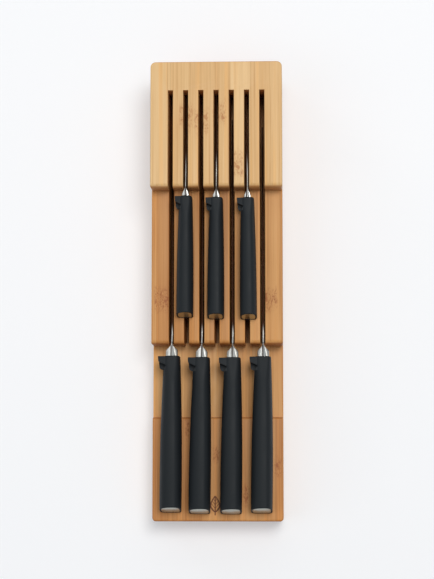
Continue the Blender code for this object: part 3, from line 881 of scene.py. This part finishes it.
def make_handle(knife, x, look):
    size = knife.size
    bm = bmesh.new()
    add_loft(bm, [handle_ring(size, x, s, inset) for s, inset in handle_stations(size)])
    handle = make_object(f"{knife.name}_grip", bm, look)
    top = size["rest_z"] + size["height"]
    tab_low = top - TAB_DEPTH * size["height"]
    scoop_low = top - SCOOP_DEPTH * size["height"]
    tools = (
        ("tab_tool", outline_prism(tool_rest_outline(size, x), tab_low, top - TAB_DROP, TAB_RADIUS), "UNION"),
        ("scoop_tool", outline_prism(scoop_outline(size, x), scoop_low, top + SCOOP_PAST, 0.0), "DIFFERENCE"),
        ("tang_tool", tang_tool(size, x), "DIFFERENCE"),
        ("recess_tool", recess_tool(size, x), "DIFFERENCE"),
        ("bore_tool", bore_tool(size, x), "DIFFERENCE"),
    )
    combine(handle, [(make_object(tool, shape), operation) for tool, shape, operation in tools])
    lay(handle, knife)
    settle(handle, knife.name, f"{knife.name}_handle")


def make_end_cap(knife, x, look):
    """A plate with a rounded rim and a low dome, square to the butt's slant."""
    size = knife.size
    fit = CAP_INSET + GAP
    steps = [(CAP_DEPTH - GAP, fit), (CAP_RIM, fit)]
    for turn in quarter_turn(4, 1):
        steps.append((CAP_RIM - CAP_RADIUS * math.sin(turn), fit + CAP_RADIUS * (1 - math.cos(turn))))
    flat = CAP_RIM - CAP_RADIUS
    for share in (0.3, 0.6, 0.85):
        inset = fit + CAP_RADIUS + share * 0.55 * size["height"] / 2
        steps.append((flat - CAP_DOME * math.sin(math.pi / 2 * share), inset))
    bm = bmesh.new()
    add_loft(bm, [handle_ring(size, x, 1.0, inset, back) for back, inset in steps])
    cap = make_object(f"{knife.name}_butt_plate", bm, look, 50.0)
    lay(cap, knife)
    settle(cap, knife.name, f"{knife.name}_end_cap")


# ---------------------------------------------------------------- blades


def blade_side(spine, edge, half):
    """(across, z) down one side of a ground blade: rounded spine, tapering cheek, fine cutting bevel."""
    height = spine - edge
    bevel = min(BEVEL_HEIGHT, 0.2 * height)
    side = []
    for turn in quarter_turn(3):
        across = half - SPINE_RADIUS * (1 - math.sin(turn))
        side.append((across, spine - SPINE_RADIUS * (1 - math.cos(turn))))
    cheek = SIDE_POINTS - 7  # the spine and the edge take the other points
    for i in range(1, cheek + 1):
        share = i / cheek
        z = spine - SPINE_RADIUS - (height - SPINE_RADIUS - bevel) * share
        side.append((half + (BEVEL_HALF - half) * share**1.25, z))
    side += [(0.26, edge + 0.5 * bevel), (0.1, edge + 0.08), (0.06, edge)]
    return side


def bolster_side(top, low, flank, body):
    """(across, z) down one side of the bolster: narrow ridge, flank, valley, round shoulder, cheek."""
    side = [(0.5 * RIDGE_HALF, top), (RIDGE_HALF, top - RIDGE_DROP)]
    for i in range(1, FLANK_STEPS + 1):
        across = RIDGE_HALF + (flank - RIDGE_HALF) * i / FLANK_STEPS
        side.append((across, top - RIDGE_DROP - FLANK_SLOPE * (across - RIDGE_HALF)))
    valley = min(VALLEY_DEPTH, 0.2 * (body - flank))
    shoulder = side[-1][1] - valley
    drop = 0.05 + 0.5 * (body - flank)
    for turn in quarter_turn(6):
        reach = flank + 0.03 + (body - flank) * math.sin(turn)
        side.append((reach, shoulder - 0.02 - drop * (1 - math.cos(turn))))
    start = side[-1][1]
    for turn in quarter_turn(SIDE_POINTS - len(side), 1):
        side.append((body * (0.3 + 0.7 * math.cos(turn)), start - (start - low) * math.sin(turn)))
    return side


def whole_ring(x, y, side):
    right = [(x + across, y, z) for across, z in side]
    left = [(x - across, y, z) for across, z in reversed(side)]
    return right + left


def spine_line(size, d):
    """The spine's height at distance d from the heel, before it curves down to the tip."""
    return size["spine_z"] - size["spine_dip"] * (1 - math.exp(-d / DIP_LENGTH)) - size["spine_slope"] * d


def blade_outline(knife, d):
    """Spine and edge heights at distance d from the heel."""
    size, tip = knife.size, knife.tip
    share = min(d / knife.length, 1.0)
    heel = size["spine_z"] - knife.height
    edge = heel + (tip - TIP_HEIGHT) * share**knife.edge_power
    spine = spine_line(size, d) - (spine_line(size, knife.length) - heel - tip) * share**knife.spine_power
    if knife.scallop and share < SCALLOPS_END:
        edge += SCALLOP_DEPTH * abs(math.sin(math.pi * d / knife.scallop)) - 0.5 * SCALLOP_DEPTH
    return spine, edge


def blade_stations(knife):
    """Distances from the heel: even, several to a scallop, then closer together towards the tip."""
    length = knife.length
    start = SCALLOPS_END if knife.scallop else TIP_START
    count = round(start * length / knife.scallop) * SCALLOP_STEPS if knife.scallop else PLAIN_STEPS
    even = [start * length * i / count for i in range(1, count)]
    return even + [length * (start + (1 - start) * math.sin(turn)) for turn in quarter_turn(TIP_STEPS)]


def bolster_rings(size, x):
    """From the handle's front to the neck behind the blade's heel, flaring like a bell."""
    neck, front = size["neck_y"], size["front_y"] + GAP
    low_neck = size["rest_z"] + NECK_LOW * size["height"]
    low_front = size["rest_z"] + FRONT_LOW * size["height"]
    full, flank_full = size["bolster"]
    rings = []
    for i in range(BOLSTER_STEPS + 1):
        share = 1 - i / BOLSTER_STEPS
        swell = min(max((share - SWELL_START) / size["swell"], 0.0), 1.0)
        swell = swell * swell * (3 - 2 * swell)
        flank = size["spine_half"] + (flank_full - size["spine_half"]) * share**1.2
        body = flank + (full - flank) * swell
        top = size["neck_z"] + (size["ridge_z"] - size["neck_z"]) * share**0.8
        low = low_neck + (low_front - low_neck) * share
        thin = blade_side(top, low, size["spine_half"])
        thick = bolster_side(top, low, flank, body)
        shape = min(share / NECK_BLEND, 1.0)
        side = [(a + (c - a) * shape, b + (d - b) * shape) for (a, b), (c, d) in zip(thin, thick)]
        rings.append(whole_ring(x, neck + (front - neck) * share, side))
    return rings


def tang_rings(size, x):
    length, height, thick = size["tang"]
    middle = size["rest_z"] + TANG_MIDDLE * size["height"]
    side = []
    for i in range(SIDE_POINTS):
        side.append((thick / 2, middle + height / 2 - height * i / (SIDE_POINTS - 1)))
    just_inside = size["front_y"] + GAP - 0.001  # just short of the bolster, so no face has zero area
    return [whole_ring(x, y, side) for y in (size["front_y"] - length, just_inside)]


def heel_rings(knife, x):
    """From the neck to the blade's heel, where the edge drops away."""
    size = knife.size
    heel_edge = size["spine_z"] - knife.height
    neck_low = size["rest_z"] + NECK_LOW * size["height"]
    rings = []
    for i in range(HEEL_STEPS + 1):
        share = i / HEEL_STEPS
        y = size["heel_y"] - HEEL_LENGTH * (1 - share)
        edge = min(neck_low + (heel_edge - neck_low) * share**2, neck_low)
        top = size["spine_z"] + 0.6 * (size["neck_z"] - size["spine_z"]) * (1 - share)
        rings.append(whole_ring(x, y, blade_side(top, edge, size["spine_half"])))
    return rings


def blade_rings(knife, x):
    size = knife.size
    rings = []
    for d in blade_stations(knife):
        spine, edge = blade_outline(knife, d)
        thin = size["spine_half"] * (1 - TIP_THINNING * (d / knife.length) ** 2)
        rings.append(whole_ring(x, size["heel_y"] + d, blade_side(spine, edge, thin)))
    return rings


def make_blade(knife, x, look):
    """Tang, bolster, heel and blade as one forging."""
    bm = bmesh.new()
    rings = tang_rings(knife.size, x) + bolster_rings(knife.size, x)
    add_loft(bm, rings + heel_rings(knife, x) + blade_rings(knife, x))
    blade = make_object(f"{knife.name}_steel", bm, look, 40.0)
    lay(blade, knife)
    settle(blade, knife.name, f"{knife.name}_blade")


def make_knives(looks):
    for knife in KNIVES:
        x = slot_x(knife.slot)
        make_blade(knife, x, looks["large_blade" if knife.size is LARGE else "small_blade"])
        make_handle(knife, x, looks["soft"])
        make_end_cap(knife, x, looks["cap"])
        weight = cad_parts[f"{knife.name}_weight"]
        weight.data.materials.clear()
        weight.data.materials.append(looks["slug"])


# ---------------------------------------------------------------- stage, light and camera


def make_floor():
    g = Graph("floor_white", 0.9)
    g.out("Base Color", rgb(212, 212, 213))
    g.out("Emission Color", FLOOR_GLOW)
    g.out("Emission Strength", FLOOR_GLOW_STRENGTH)
    bm = bmesh.new()
    bmesh.ops.create_grid(bm, x_segments=2, y_segments=2, size=FLOOR_HALF)
    floor = make_object("floor", bm, g.material)
    floor.location.z = -FLOOR_DROP


def make_light():
    world = bpy.data.worlds.new("studio")
    bpy.context.scene.world = world
    world.use_nodes = True
    background = world.node_tree.nodes["Background"]
    background.inputs["Color"].default_value = SKY_COLOUR
    background.inputs["Strength"].default_value = SKY_STRENGTH
    for name, place, target, size, power, colour in LIGHTS:
        data = bpy.data.lights.new(name, "AREA")
        data.shape = "RECTANGLE"
        data.size, data.size_y = size
        data.energy = power
        data.color = colour
        light = bpy.data.objects.new(name, data)
        light.location = place
        light.rotation_euler = (Vector(target) - Vector(place)).to_track_quat("-Z", "Y").to_euler()
        bpy.context.scene.collection.objects.link(light)


def make_camera():
    """Nearly straight down, from a little right of and in front of the block."""
    data = bpy.data.cameras.new("camera")
    data.sensor_width = SENSOR_WIDTH
    data.lens = LENS
    camera = bpy.data.objects.new("camera", data)
    bpy.context.scene.collection.objects.link(camera)
    forward = (CAMERA_TARGET - CAMERA_PLACE).normalized()
    right = forward.cross(Vector((0.0, 1.0, 0.0))).normalized()
    up = right.cross(forward)
    turned = Matrix((right, up, -forward)).transposed().to_4x4()
    camera.matrix_world = Matrix.Translation(CAMERA_PLACE) @ turned
    bpy.context.scene.camera = camera


def plain_colours():
    view = bpy.context.scene.view_settings
    view.view_transform = "Standard"
    view.look = "None"


LOOKS = make_materials()
make_block(LOOKS)
make_feet(LOOKS["silicone"])
make_knives(LOOKS)
make_floor()
make_light()
make_camera()
plain_colours()
